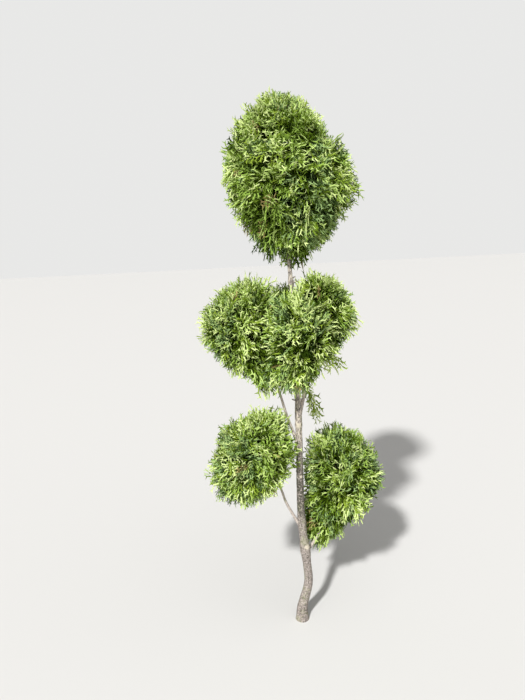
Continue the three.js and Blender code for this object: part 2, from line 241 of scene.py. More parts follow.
def mesh_of_lines(name, lines, radii):
    """A mesh of bare edges along several lines, which carries the limb's radius at each point."""
    points = np.vstack(lines)
    starts = np.cumsum([0] + [len(line) for line in lines])
    edges = [(i, i + 1) for a, b in zip(starts, starts[1:]) for i in range(a, b - 1)]
    mesh = bpy.data.meshes.new(name)
    mesh.from_pydata(points.tolist(), edges, [])
    mesh.attributes.new("radius_here", "FLOAT", "POINT").data.foreach_set("value", np.concatenate(radii))
    return mesh


def smooth_line(corners, spacing):
    """Points at even spacing on the centripetal curve through the corners, as the source lays its limbs."""
    p = np.array(corners, float)
    p = np.vstack([2 * p[0] - p[1], p, 2 * p[-1] - p[-2]])
    t = np.linspace(0, 1, CURVE_STEPS, endpoint=False)[:, None]
    pieces = []
    for a, b, c, d in zip(p, p[1:], p[2:], p[3:]):
        before, here, after = (np.linalg.norm(v) ** 0.5 for v in (b - a, c - b, d - c))
        leaving = ((b - a) / before - (c - a) / (before + here) + (c - b) / here) * here
        arriving = ((c - b) / here - (d - b) / (here + after) + (d - c) / after) * here
        bend = 3 * (c - b) - 2 * leaving - arriving
        pieces.append(b + leaving * t + bend * t**2 + (2 * (b - c) + leaving + arriving) * t**3)
    fine = np.vstack([*pieces, p[-2]])
    run = np.concatenate([[0], np.cumsum(np.linalg.norm(np.diff(fine, axis=0), axis=1))])
    at = np.linspace(0, run[-1], max(2, round(run[-1] / spacing)) + 1)
    return np.column_stack([np.interp(at, run, fine[:, i]) for i in range(3)])


def trunk_radius(height):
    taper = TRUNK_RADIUS * np.clip(1 - height / (TRUNK_TIP * TAPER_RUN), 0, 1) ** TRUNK_TAPER
    flare = ROOT_FLARE * np.exp(-height / ROOT_FLARE_HEIGHT)
    swells = [added * np.exp(-(((height - middle) / half) ** 2)) for middle, added, half in TRUNK_SWELLINGS]
    return np.maximum(taper, TRUNK_TIP_RADIUS) + flare + sum(swells)


def outward(turn):
    """The level direction at a turn about the trunk, counted from +X towards +Y."""
    return np.array([math.cos(turn), math.sin(turn), 0])


def trunk_point(height):
    return np.array([np.interp(height, trunk_line[:, 2], trunk_line[:, i]) for i in range(3)])


def bark_finish(name, painted_shade, paleness):
    """Grey flaking bark: pale scales over dark furrows, lichen, knot scars, pale flakes that are partly
    painted light, and a stretch of painted shade.
    """
    material = bpy.data.materials.new(name)
    material.use_nodes = True
    tree = material.node_tree
    tree.nodes.clear()
    start = Socket(tree)
    grain = start.node("ShaderNodeAttribute", {"attribute_name": "grain"}, output="Vector")
    place = start.node("ShaderNodeTexCoord", output="Object")
    long_grain = grain.vector("MULTIPLY", grain, (1, 1, BARK_STRETCH))

    def noise(vector, size, detail=2.0):
        sockets = {"Vector": vector, "Scale": 1 / size, "Detail": detail}
        return start.node("ShaderNodeTexNoise", None, sockets)

    def blend(share, first, second):
        under, over = (value if isinstance(value, Socket) else (*value, 1) for value in (first, second))
        return start.node("ShaderNodeMix", {"data_type": "RGBA"}, {0: share, 6: under, 7: over}, 2)

    def above(value, low, high):
        sockets = {"Value": value, "From Min": low, "From Max": high}
        return start.node("ShaderNodeMapRange", {"interpolation_type": "SMOOTHSTEP"}, sockets)

    ticks = grain.vector("MULTIPLY", grain, (1, 1, BARK_TICKS))
    scales = noise(ticks, SCALE_SIZE, 3.0)
    fibres = noise(long_grain, FIBRE_SIZE)
    patches = noise(grain, PATCH_SIZE)
    flecks = noise(grain, FLECK_SIZE)
    ridge = scales * 0.5 + fibres * 0.5 + paleness
    colour = blend(above(ridge, *BROWN_FROM), FURROW_BROWN, BARK_BROWN)
    colour = blend(above(ridge, *GREY_FROM), colour, BARK_GREY)
    colour = blend(above(ridge + patches * PATCH_SHARE, *CREAM_FROM), colour, BARK_CREAM)
    lichen = above(patches + flecks * 0.5, *LICHEN_FROM) * LICHEN_SHARE
    colour = blend(lichen, colour, LICHEN_GREEN)
    height = place.node("ShaderNodeSeparateXYZ", None, {"Vector": place}, "Z")
    # Partly painted light: pale flakes of peeling bark, laid on thickly to brighten the upper trunk.
    flakes_and_light = above(noise(long_grain, FLAKE_SIZE), *FLAKE_FROM) * above(height, *FLAKE_AND_LIGHT_HEIGHTS) * FLAKE_SHARE
    colour = blend(flakes_and_light, colour, FLAKE_AND_LIGHT_CREAM)
    # Painted shade: a dark band, thin all over and thick in blotches, where the lower balls shade the trunk.
    rise, full, fade, end = PAINTED_SHADE_HEIGHTS
    stretch = above(height, rise, full) * (1 - above(height, fade, end))
    speckles = above(noise(grain, SPECKLE_SIZE, 3.0), *SPECKLE_FROM) * SPECKLE_SHARE
    colour = blend(stretch * (1 - SPECKLE_SHARE + speckles) * painted_shade, colour, PAINTED_SHADE_GREEN)
    for scar_height, turn, radius in KNOT_SCARS:
        middle = trunk_point(scar_height) + outward(math.radians(turn)) * trunk_radius(scar_height)
        away = place.node("ShaderNodeVectorMath", {"operation": "DISTANCE"}, {0: place, 1: middle}, "Value")
        inner, outer = (radius * share for share in SCAR_EDGE)
        scar = 1 - above(away + flecks * (radius * SCAR_RAGGEDNESS), inner, outer)
        colour = blend(scar * SCAR_SHARE, colour, SCAR_CREAM)
    bump = start.node("ShaderNodeBump", None, {**BARK_BUMP, "Height": ridge})
    roughness = 1 - ridge * RIDGE_SHEEN
    finish = {"Base Color": colour, "Roughness": roughness, "Normal": bump, "Specular IOR Level": BARK_GLOSS}
    shader = start.node("ShaderNodeBsdfPrincipled", None, finish)
    start.node("ShaderNodeOutputMaterial", None, {"Surface": shader})
    return material


def limb_tree():
    """Sweeps a ring along each line at its own radius, and raises the bark's long ridges on it."""
    sizes = {"Sides": "Int", "Ridge depth": "Float", "Ridge width": "Float", "Bark": "Material"}
    tree, given = node_tree("limb", sizes)
    start = given["Geometry"]
    path = start.node("GeometryNodeMeshToCurve", None, {"Mesh": start})
    along = start.node("GeometryNodeSplineParameter", output="Length")
    path = store_attribute(path, "along", along)
    circle = {"Resolution": given["Sides"], "Radius": 1.0}
    ring = start.node("GeometryNodeCurvePrimitiveCircle", None, circle)
    ring = store_attribute(ring, "ring", start.node("GeometryNodeInputPosition"), "FLOAT_VECTOR")
    radius = read_attribute(tree, "radius_here")
    sweep = {"Curve": path, "Profile Curve": ring, "Scale": radius, "Fill Caps": True}
    limb = start.node("GeometryNodeCurveToMesh", None, sweep)
    around = read_attribute(tree, "ring", "FLOAT_VECTOR").scaled(radius)
    length = start.node("ShaderNodeCombineXYZ", None, {"Z": read_attribute(tree, "along")})
    limb = store_attribute(limb, "grain", around.vector("ADD", around, length), "FLOAT_VECTOR")
    grain = read_attribute(tree, "grain", "FLOAT_VECTOR")
    strip = grain.vector("MULTIPLY", grain, (1, 1, BARK_STRETCH))
    ridges = {"Vector": strip, "Scale": 1 / given["Ridge width"], "Detail": 2.0}
    noise = start.node("ShaderNodeTexNoise", None, ridges)
    relief = (abs(noise * 2 - 1) * -2 + 0.5) * given["Ridge depth"]
    offset = start.node("GeometryNodeInputNormal").scaled(relief)
    limb = start.node("GeometryNodeSetPosition", None, {"Geometry": limb, "Offset": offset})
    place = start.node("GeometryNodeInputPosition")
    split = place.node("ShaderNodeSeparateXYZ", None, {"Vector": place}, "Z")
    lift = start.node("ShaderNodeCombineXYZ", None, {"Z": split.maths("MAXIMUM", split, 0.0) - split})
    limb = start.node("GeometryNodeSetPosition", None, {"Geometry": limb, "Offset": lift})
    limb = start.node("GeometryNodeSetShadeSmooth", None, {"Geometry": limb})
    end_tree(limb, given["Bark"])
    return tree


trunk_line = smooth_line([[x, y, share * TRUNK_TIP] for x, y, share in TRUNK_SWEEP], RING_SPACING)
trunk_radii = trunk_radius(trunk_line[:, 2])
trunk_lines = [trunk_line]
trunk_line_radii = [trunk_radii]
for height, turn, length, radius in TRUNK_STUBS:
    foot = trunk_point(height)
    reach = trunk_radius(height) + length
    way = outward(math.radians(turn)) + np.array([0, 0, STUB_RISE])
    stub = smooth_line([foot, foot + way * reach / 2, foot + way * reach], RING_SPACING)
    trunk_lines.append(stub)
    trunk_line_radii.append(np.linspace(radius * STUB_TAPER[0], radius * STUB_TAPER[1], len(stub)))

LIMB = limb_tree()
BARK = bark_finish("thuja_bark", painted_shade=0.80, paleness=0)
trunk = grown_piece(
    "trunk_bark",
    mesh_of_lines("trunk_path", trunk_lines, trunk_line_radii),
    LIMB,
    {"Sides": TRUNK_SIDES, "Ridge depth": BARK_DEPTH, "Ridge width": BARK_RIDGE, "Bark": BARK},
)
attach(trunk, "root")
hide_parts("trunk")

# Boughs. Six slim limbs that leave the trunk on a collar of bark and carry the lower and middle balls. Each
# is one tapering limb of the trunk's own wood, and ends where it enters its foliage.
BOUGHS = {  # points from the trunk's line to the tip, then the radius at the foot and at the tip
    "lower_left": (
        [[0.009, 0, 0.292], [-0.014, -0.003, 0.336], [-0.035, -0.008, 0.382], [-0.048, -0.010, 0.424],
         [-0.064, -0.011, 0.452]],
        (0.0044, 0.0027),
    ),
    "lower_right": (
        [[0.017, 0, 0.214], [0.036, 0.014, 0.230], [0.054, 0.028, 0.246], [0.066, 0.036, 0.264]],
        (0.0048, 0.0032),
    ),
    "middle_left": (
        [[0.010, 0.003, 0.536], [-0.006, 0, 0.590], [-0.022, -0.004, 0.640], [-0.040, -0.006, 0.708],
         [-0.056, -0.007, 0.748]],
        (0.0042, 0.0030),
    ),
    "middle_right": (
        [[0.013, 0.004, 0.632], [0.028, 0.009, 0.684], [0.036, 0.012, 0.740], [0.050, 0.015, 0.800],
         [0.066, 0.016, 0.838]],
        (0.0052, 0.0034),
    ),
    "middle_front": (
        [[0.011, 0.002, 0.742], [0.012, -0.018, 0.776], [0.013, -0.042, 0.806]],
        (0.0046, 0.0036),
    ),
    "middle_back": (
        [[0.011, 0.002, 0.716], [0.006, 0.026, 0.756], [-0.002, 0.056, 0.800]],
        (0.0046, 0.0034),
    ),
}
BOUGH_SIDES = 20
BOUGH_BARK_DEPTH = 0.0005
BOUGH_RIDGE = 0.0030
COLLAR = 0.5  # how much thicker a bough is at its foot
COLLAR_LENGTH = 0.08  # share of the bough that the collar takes

BOUGH_BARK = bark_finish("thuja_bough_bark", painted_shade=0, paleness=0.10)
bough_lines = {}
bough_radii = {}
bough_sizes = {
    "Sides": BOUGH_SIDES,
    "Ridge depth": BOUGH_BARK_DEPTH,
    "Ridge width": BOUGH_RIDGE,
    "Bark": BOUGH_BARK,
}
for name, (points, (foot, tip)) in BOUGHS.items():
    line = smooth_line(points, RING_SPACING)
    share = np.linspace(0, 1, len(line))
    bough_lines[name] = line
    bough_radii[name] = foot + (tip - foot) * share + foot * COLLAR * np.exp(-share / COLLAR_LENGTH)
    path = mesh_of_lines(f"bough_{name}_path", [line], [bough_radii[name]])
    bough = grown_piece(f"bough_{name}_bark", path, LIMB, bough_sizes)
    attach(bough, "root")
    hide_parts(f"bough_{name}")

# Stems and twigs. Thin brown wood inside each ball: a stem runs to the middle of the mass, leading twigs run
# out from there to even places on the ball, and finer twigs fork off them. A few loose shoots that escaped
# the shears fork off the middle level's leading twigs.
BALLS = {  # shapes of the clipped balls, in the source's own terms, and how far the top one's middle is bowed
    "top": {
        "centre": (0.016, 0, 1.277), "radii": (0.184, 0.172, 0.223),
        "power": 1.65, "egg": -0.02, "shift": (0.03, -0.14), "bow": -0.12,
    },
    "middle_left": {
        "centre": (-0.144, -0.008, 0.880), "radii": (0.121, 0.114, 0.150),
        "power": 2, "egg": 0.08, "shift": (0.4, 0.2),
    },
    "middle_right": {
        "centre": (0.100, -0.006, 0.914), "radii": (0.087, 0.104, 0.122),
        "power": 2, "egg": 0.06, "shift": (-0.24, -0.15),
    },
    "middle_front": {
        "centre": (0.018, -0.086, 0.857), "radii": (0.100, 0.088, 0.132),
        "power": 2, "egg": 0.04, "shift": (-0.15, 0),
    },
    "middle_back": {
        "centre": (-0.014, 0.112, 0.868), "radii": (0.112, 0.092, 0.134),
        "power": 2, "egg": 0.06, "shift": (0, 0),
    },
    "lower_left": {
        "centre": (-0.126, -0.012, 0.521), "radii": (0.132, 0.122, 0.146),
        "power": 2, "egg": -0.06, "shift": (-0.2, 0.24),
    },
    "lower_right": {
        "centre": (0.148, 0.072, 0.390), "radii": (0.126, 0.118, 0.202),
        "power": 2, "egg": 0.16, "shift": (-0.55, -0.1),
    },
}
AXIS_SHARE = 0.45  # foliage sets off from this share of its height on a ball's axis
MERGING = 4  # the higher, the less the hollows between merging balls fill up
HALVINGS = 30
TOP_RING_HEIGHT = 1.262
TOP_RING_OFFSET = 0.070
TOP_RING_TURNS = {"front_left": 225, "front_right": 315, "back_right": 45, "back_left": 135}
TOP_CAP_HEIGHT = 1.434
LEADING_SPACING = 0.067  # between neighbouring leading twigs, over a ball's surface
FINE_SPACING = 0.036
SPACING_JITTER = 0.3  # radians
FINE_OVER_THE_PLANE = 0.016  # how far fine twigs reach in among those of the next ball
LEADING_REACH = 0.58  # leading twigs end at this share of the way to the outline
FORK_SHARE = (0.45, 0.95)  # a fine twig forks off its leading twig between these shares of its length
FINE_DEPTH = 0.04675  # fine twigs end this far inside the outline
FINE_DEEPEST = 0.8  # and no nearer the ball's axis than this share of the way to it
TWIG_BOW = 0.08  # of a twig's length
TWIG_SAG = 0.6  # of its bow
STEM_STRAIGHT = 0.014
STEM_RADIUS = (0.0026, 0.0018)
LEADING_RADIUS = (0.0017, 0.0011)
FINE_RADIUS = (0.0011, 0.0007)
TWIG_SIDES = 5
TWIG_STEP = 0.020
TWIG_BROWN = (0.105, 0.070, 0.042)
TWIG_ROUGHNESS = 0.9
LOOSE_SHOOTS = [  # shoots that escaped the shears, as (points, sprays)
    ([[0.020, 0.030, 0.770], [0.038, 0.046, 0.716], [0.050, 0.052, 0.676], [0.058, 0.052, 0.640]], 6),
    ([[0.112, -0.004, 0.924], [0.142, -0.004, 0.921]], 2),
    ([[-0.056, -0.052, 0.800], [-0.068, -0.052, 0.772]], 3),
    ([[0.066, -0.034, 0.834], [0.084, -0.034, 0.824], [0.094, -0.034, 0.818]], 3),
]
GOLDEN_ANGLE = math.pi * (3 - math.sqrt(5))
UP = np.array([0, 0, 1.0])


def unit(v):
    return v / np.linalg.norm(v, axis=-1, keepdims=True)


def shift_at(ball, up):
    """How far a ball's middle is shifted along +X, at a height given as a share of its half height."""
    below, above = ball["shift"]
    bow = ball.get("bow", 0) * np.clip(up * (1 - up), 0, 1)
    return (np.where(up < 0, -below, above) * up + bow) * ball["radii"][2]


def ball_value(ball, points):
    """Below 1 inside a ball, and 1 on its outline."""
    rx, ry, rz = ball["radii"]
    x, y, z = np.moveaxis(points - np.array(ball["centre"]), -1, 0)
    up = z / rz
    width = 1 + ball["egg"] * np.clip(up, -1, 1)
    ring = np.hypot((x - shift_at(ball, up)) / (rx * width), y / (ry * width))
    return (ring ** ball["power"] + np.abs(up) ** ball["power"]) ** (1 / ball["power"])


def ball_point(ball, way):
    """The point of a ball's outline for a unit direction."""
    rx, ry, rz = ball["radii"]
    x, y, z = np.moveaxis(way, -1, 0)
    scale = (np.hypot(x, y) ** ball["power"] + np.abs(z) ** ball["power"]) ** (-1 / ball["power"])
    up = z * scale
    width = (1 + ball["egg"] * up) * scale
    from_centre = np.stack([x * rx * width + shift_at(ball, up), y * ry * width, up * rz], -1)
    return from_centre + np.array(ball["centre"])


def outline_value(name, points):
    """Below 1 inside a ball's foliage. Balls of one level that touch grow together where they meet."""
    level = name.split("_")[0]
    if level != "middle":
        return ball_value(BALLS[name], points)
    together = [ball_value(ball, points) for other, ball in BALLS.items() if other.startswith(level)]
    return sum(value ** -MERGING for value in together) ** (-1 / MERGING)


def outline_reach(name, starts, ways, value=1.0):
    """Distance from points inside a ball to its outline, or to a smaller value of it, found by halving."""
    low = np.zeros(len(starts))
    high = np.full(len(starts), 2 * max(BALLS[name]["radii"]))
    for _ in range(HALVINGS):
        middle = (low + high) / 2
        inside = outline_value(name, starts + ways * middle[:, None]) < value
        low = np.where(inside, middle, low)
        high = np.where(inside, high, middle)
    return low


def spiral_targets(ball, spacing, random):
    """Even places on a ball's outline, on a golden-angle spiral."""
    rx, ry, rz = ball["radii"]
    count = round(4 * math.pi * (rx * ry + ry * rz + rz * rx) / 3 / spacing**2)
    z = 1 - (2 * np.arange(count) + 1) / count
    turn = np.arange(count) * GOLDEN_ANGLE + (random.random(count) - 0.5) * SPACING_JITTER
    ring = np.sqrt(1 - z * z)
    return ball_point(ball, np.stack([ring * np.cos(turn), ring * np.sin(turn), z], -1))


def axis_point(ball, target):
    """Where the sprays at a target set off from, on the ball's upright axis."""
    middle = np.array(ball["centre"])
    return middle + UP * (target[2] - middle[2]) * AXIS_SHARE


def masses_of(name):
    """Where a ball's foliage grows from, as (middle, where its stem starts, the way the stem sets off)."""
    if name != "top":
        line = bough_lines[name]
        return [(np.array(BALLS[name]["centre"]), line[-1], unit(line[-1] - line[-2]))]
    leader = trunk_point(TOP_RING_HEIGHT)
    ways = [outward(math.radians(turn)) for turn in TOP_RING_TURNS.values()]
    ring = [(leader + way * TOP_RING_OFFSET, leader, way) for way in ways]
    tip = trunk_line[-1]
    return [*ring, (np.array([tip[0], tip[1], TOP_CAP_HEIGHT]), tip, UP)]


def extent(ball, way):
    return np.linalg.norm(np.array(ball["radii"]) * way)


def beyond_neighbours(name, points):
    """How far points lie past the plane where a ball's space ends towards its nearest neighbour."""
    ball = BALLS[name]
    centre = np.array(ball["centre"])
    past = np.full(points.shape[:-1], -1.0)
    for other_name, other in BALLS.items():
        if other_name == name:
            continue
        apart = np.array(other["centre"]) - centre
        way = unit(apart)
        share = extent(ball, way) / (extent(ball, way) + extent(other, way))
        past = np.maximum(past, (points - (centre + apart * share)) @ way)
    return past


def bowed(start, end, random):
    """A line from start to end with a slight seeded bow, sagging in its middle."""
    length = np.linalg.norm(end - start)
    side = random.normal(size=3) * TWIG_BOW * length
    side[2] -= TWIG_BOW * length * TWIG_SAG
    share = np.linspace(0, 1, max(3, round(length / TWIG_STEP) + 1))[:, None]
    return start + (end - start) * share + side * (2 * share * (1 - share))


def tapered(line, radius):
    return np.linspace(radius[0], radius[1], len(line))


def plain_finish(name, colour, roughness, gloss=0.5):
    """A material of one plain colour."""
    material = bpy.data.materials.new(name)
    material.use_nodes = True
    shader = material.node_tree.nodes["Principled BSDF"]
    shader.inputs["Base Color"].default_value = (*colour, 1)
    shader.inputs["Roughness"].default_value = roughness
    shader.inputs["Specular IOR Level"].default_value = gloss
    return material


twig_lines = {"top": [], "middle": [], "lower": []}
twig_radii = {"top": [], "middle": [], "lower": []}
twig_tips = []  # (ball's name, middle of the mass, the fine twig's line, its target)
leading_twigs = []  # (ball's name, middle of the mass, the leading twig's line)
stems = []  # (ball's name, the stem's line)
for number, (name, ball) in enumerate(BALLS.items()):
    level = name.split("_")[0]
    random = np.random.default_rng(number + 11)
    masses = masses_of(name)
    centres = np.array([middle for middle, entry, way in masses])
    leading = {i: [] for i in range(len(masses))}
    for i, (middle, entry, way) in enumerate(masses):
        stem = smooth_line([entry, entry + way * STEM_STRAIGHT, middle], TWIG_STEP)
        stems.append((name, stem))
        twig_lines[level].append(stem)
        twig_radii[level].append(tapered(stem, STEM_RADIUS))
    for target in spiral_targets(ball, LEADING_SPACING, random):
        if beyond_neighbours(name, target) > 0:
            continue
        i = int(np.argmin(np.linalg.norm(centres - target, axis=1)))
        twig = bowed(centres[i], centres[i] + (target - centres[i]) * LEADING_REACH, random)
        leading[i].append(twig)
        leading_twigs.append((name, centres[i], twig))
        twig_lines[level].append(twig)
        twig_radii[level].append(tapered(twig, LEADING_RADIUS))
    for target in spiral_targets(ball, FINE_SPACING, random):
        if beyond_neighbours(name, target) > FINE_OVER_THE_PLANE:
            continue
        i = int(np.argmin(np.linalg.norm(centres - target, axis=1)))
        ends = np.array([twig[-1] for twig in leading[i]])
        carrier = leading[i][int(np.argmin(np.linalg.norm(ends - target, axis=1)))]
        fork = carrier[round(random.uniform(*FORK_SHARE) * (len(carrier) - 1))]
        inward = axis_point(ball, target) - target
        end = target + inward * min(FINE_DEPTH / np.linalg.norm(inward), FINE_DEEPEST)
        twig = bowed(fork, end, random)
        twig_lines[level].append(twig)
        twig_radii[level].append(tapered(twig, FINE_RADIUS))
        twig_tips.append((name, centres[i], twig, target))

wood = np.vstack([line for name, middle, line in leading_twigs if name.startswith("middle")])
for points, count in LOOSE_SHOOTS:
    fork = wood[int(np.argmin(np.linalg.norm(wood - np.array(points[0]), axis=1)))]
    shoot = smooth_line([fork, *points], TWIG_STEP)
    twig_lines["middle"].append(shoot)
    twig_radii["middle"].append(tapered(shoot, FINE_RADIUS))

TWIG_BARK = plain_finish("thuja_twig", TWIG_BROWN, TWIG_ROUGHNESS)
LEVEL_NODES = {
    level: sorted(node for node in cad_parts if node.startswith(f"foliage_{level}_"))
    for level in twig_lines
}
twig_sizes = {"Sides": TWIG_SIDES, "Ridge depth": 0.0, "Ridge width": 1.0, "Bark": TWIG_BARK}
for level in twig_lines:
    path = mesh_of_lines(f"twigs_{level}_path", twig_lines[level], twig_radii[level])
    twigs = grown_piece(f"twigs_{level}", path, LIMB, twig_sizes)
    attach(twigs, "root")
    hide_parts(*LEVEL_NODES[level])

# Sprays. Flat comb-like fans of thin scaly shoots, forked at their young tips. A frond of five ends each fine
# twig, and darker, coarser ones fill the inside as painted shade. A few shapes are grown by rule and set out
# along the twigs, to hang low on a ball, turn up near its top and end at the clipped outline.
SPRAY_SHAPES = 9  # shapes of each habit
SHOOT_WIDTH = 0.056  # of a spray's length
SHOOT_THICKNESS = 0.026
SPINE_PART = 0.30  # each half of a spray's middle shoot, of its length
SPINE_TIP = 0.38
SPINE_LEAN = 0.15  # how far the middle shoot bends off a spray's plane
SHOOTS_FROM = 0.8  # the first side shoot leaves here, in steps between side shoots
BRANCH_PARTS = (0.30, 0.37, 0.33)  # the foot, the middle and the end of a side shoot, of its length
BRANCH_THINNING = 0.03  # how much shorter each side shoot is than the one before
BRANCH_LENGTHS = (0.80, 1.15)
BRANCH_ANGLES = (0.86, 1.14)
BRANCH_RISE = 0.18
SPREADS = (0.8, 1.2)
END_CURL = 2.2  # a side shoot's end curls this much more than its middle
FOOT_OVERLAP = 0.3
FORK_ANGLE = (28, 50)
FORK_LENGTH = (0.28, 0.46)  # of the side shoot's length
FORK_RISE = 0.3
HABITS = {  # number, angle, length and curl of the side shoots, bend of the middle, share of forks, and width
    "upright": {
        "shoots": 7, "spread": 62, "branch": 0.42, "curl": (10, 38), "bend": 16, "forks": 0.85, "width": 1.0,
    },
    "hanging": {
        "shoots": 7, "spread": 55, "branch": 0.45, "curl": (8, 36), "bend": 14, "forks": 0.75, "width": 1.0,
    },
    "inner": {
        "shoots": 3, "spread": 50, "branch": 0.55, "curl": (0, 10), "bend": 12, "forks": 0, "width": 2.2,
    },
}
OLD_SHOOTS = 0.25  # share of side shoots that are as dark as the middle
FROND_SIDES = (0, 1, -1, 1, -1)  # the sprays of a frond, from its tip inwards
FROND_LIFT = (-0.65, 0.70)  # how much fronds set off downwards at a ball's bottom, and upwards at its top
LIFT_SPREAD = 0.52
FROND_LEAN = (0.4, 1.2)  # how far they lean off sideways
FROND_ROLL = math.radians(38)
FROND_STRETCH = 0.55  # share of a twig that its frond's sprays grow from
FROND_OPENING = 1.0  # how much wider the sprays at a frond's foot spread
FROND_TONE = 0.17  # how much lighter or darker one frond is than another
FROND_REACH = 0.3  # share of a spray's reach that its whole frond has in common
SPRAY_SPREAD = (math.radians(20), math.radians(48))
SPRAY_LEAN = 0.5
SPRAY_ROLL = math.radians(18)
SPRAY_TONE = 0.27
SPRAY_DROOP = (0.42, -0.20)  # at the bottom and at the top of a ball
DROOP_RANGE = (0.3, 1.5)
SPRAY_REACH = (0.66, 1.09)  # sprays end at this share of the way to the ball's outline
LOOSENESS = 1.4  # the higher, the fewer sprays stand out
SPRIG_SHARE = 0.03  # a few sprays end here instead
SPRIG_REACH = 1.07
HANG_OVER = 0.014  # how far sprays hang below the top ball
HANG_OVER_BELOW = -0.6  # share of the half height that they do so under
HANGING_BELOW = 0.1  # sprays lower than this share of a ball's half height have the hanging habit
HANGING_SPREAD = 0.3
FIELD_WAVES = 6
CLUMP_SIZE = 0.075
CLUMP_SWELL = 0.015  # how far clumps of sprays swell beyond the even outline and sink below it
LUMPS = [  # places where the clipped outline bulges or sinks, as [x, y, z, how far]
    [0.208, 0, 1.228, 0.042],
    [0.196, 0, 1.300, -0.012],
    [0.128, 0, 1.390, -0.014],
    [0.152, 0, 1.120, -0.018],
    [-0.161, 0, 1.313, -0.009],
    [-0.132, 0, 1.411, 0.012],
    [-0.137, 0, 1.189, 0.010],
    [0.027, 0, 1.058, 0.018],
    [-0.053, 0, 1.075, 0.018],
    [0.090, 0, 1.058, -0.022],
    [-0.076, 0, 1.100, 0.016],
    [-0.251, 0, 0.919, 0.004],
    [-0.202, 0, 0.794, -0.010],
    [-0.080, -0.050, 0.727, 0.036],
    [0.165, 0, 0.890, -0.012],
    [-0.206, 0, 0.604, 0.022],
    [-0.125, 0, 0.363, -0.018],
    [-0.003, 0, 0.497, 0.026],
    [-0.008, -0.020, 0.540, 0.018],
    [-0.034, 0, 0.640, 0.024],
    [-0.249, 0, 0.553, -0.010],
    [0.229, 0.070, 0.335, -0.018],
    [0.039, 0.070, 0.546, 0.012],
    [0.024, 0.060, 0.455, 0.014],
    [0.055, 0.070, 0.196, 0.014],
    [0.232, 0.070, 0.539, -0.008],
    [0.010, 0, 1.506, -0.010],
    [-0.148, 0, 1.194, 0.006],
]
LUMP_SIZE = 0.036
SHORTEST_SPRAY = 0.032
SHORTEST_INNER = 0.030
LONGEST_SPRAY = 0.072
INNER_SPRAYS = 11  # on each leading twig and stem
LEADER_FROM = 1.20
LEADER_SPRAYS = 36  # round the trunk inside the top ball
INNER_OUTWARDS = 0.5  # how much inner sprays point outwards, against how much they scatter
INNER_SCATTER = 0.6
INNER_LENGTH = (0.050, 0.075)
INNER_REACH = 0.70
INNER_LIMIT = 0.84  # the value inside a ball's outline that they stay below
LOOSE_FROM = 0.25  # the bare share of a loose shoot
LOOSE_SPREAD = (0.2, 0.6)
# Painted light: loose shoots take light tints, though they hang in the shadow of the middle balls.
LOOSE_TONE = (0.6, 1.0)
LOOSE_HEIGHT = -0.8  # they droop as sprays do at this share of a ball's half height
FRONT = np.array([0, -1.0, 0])
OVER_THE_PLANE = 0.050  # how far sprays reach in among those of the next ball
LIMB_CLEARANCE = 0.002
CLEAR_AT = (0.3, 0.65, 1.0)  # where along a spray its clearance is kept
TRUNK_SIDE = 0.004  # the lower right ball stays on this side of the trunk, as seen from the front
SIGHT_SLOPE = 0.065
BALL_TONE = {"top": -0.01, "lower_left": 0.0, "lower_right": -0.08}  # above or below the others
REACH_TONE = 0.45  # painted light and shade: how much lighter sprays are near the outline, near a ball's top and in a swelling clump, and darker deeper in, lower down and in a sunken one
HEIGHT_TONE = 0.08
CLUMP_TONE = 0.13
BLUISH_SIZE = 0.13  # bluish and plain green sprays keep to patches of this size
BLUISH_SPREAD = 0.35
TINTS = {  # young tips, older shoots, which are darker for their age and also as painted shade inside each spray, and the share of the sprays that have them, from light to dark
    "lime": ((0.62, 0.73, 0.29), (0.25, 0.35, 0.040), 0.18),
    "fresh": ((0.46, 0.60, 0.18), (0.15, 0.23, 0.020), 0.22),
    "green": ((0.28, 0.42, 0.075), (0.080, 0.135, 0.008), 0.22),
    "sage": ((0.27, 0.39, 0.145), (0.062, 0.110, 0.028), 0.18),
    "shade": ((0.080, 0.135, 0.007), (0.020, 0.038, 0.0005), 0.20),
}
DRY_TINT = ((0.42, 0.34, 0.13), (0.20, 0.15, 0.06))
DRY_SHARE = 0.010
# Painted shade: the inner sprays are near black, standing for the shade deep inside the balls.
INNER_SHADE_TINT = (0.022, 0.042, 0.002)
LEAF_ROUGHNESS = 0.6
LEAF_GLOSS = 0.05


def strand(line, width, thickness):
    """A closed three-sided shoot along a line of points: a ring at each point, and an apex at the last."""
    corners, faces = [], [(0, 1, 2)]
    ways = np.diff(line, axis=0)
    for point, way in zip(line, ways):
        across = unit(np.cross(way, UP)) * width / 2
        corners += [point + across, point - across, point + UP * thickness]
    for ring in range(0, 3 * (len(line) - 2), 3):
        for a, b in ((0, 1), (1, 2), (2, 0)):
            faces += [(ring + b, ring + a, ring + 3 + a), (ring + b, ring + 3 + a, ring + 3 + b)]
    last = len(corners) - 3
    corners.append(line[-1])
    faces += [(last + b, last + a, last + 3) for a, b in ((0, 1), (1, 2), (2, 0))]
    return corners, faces


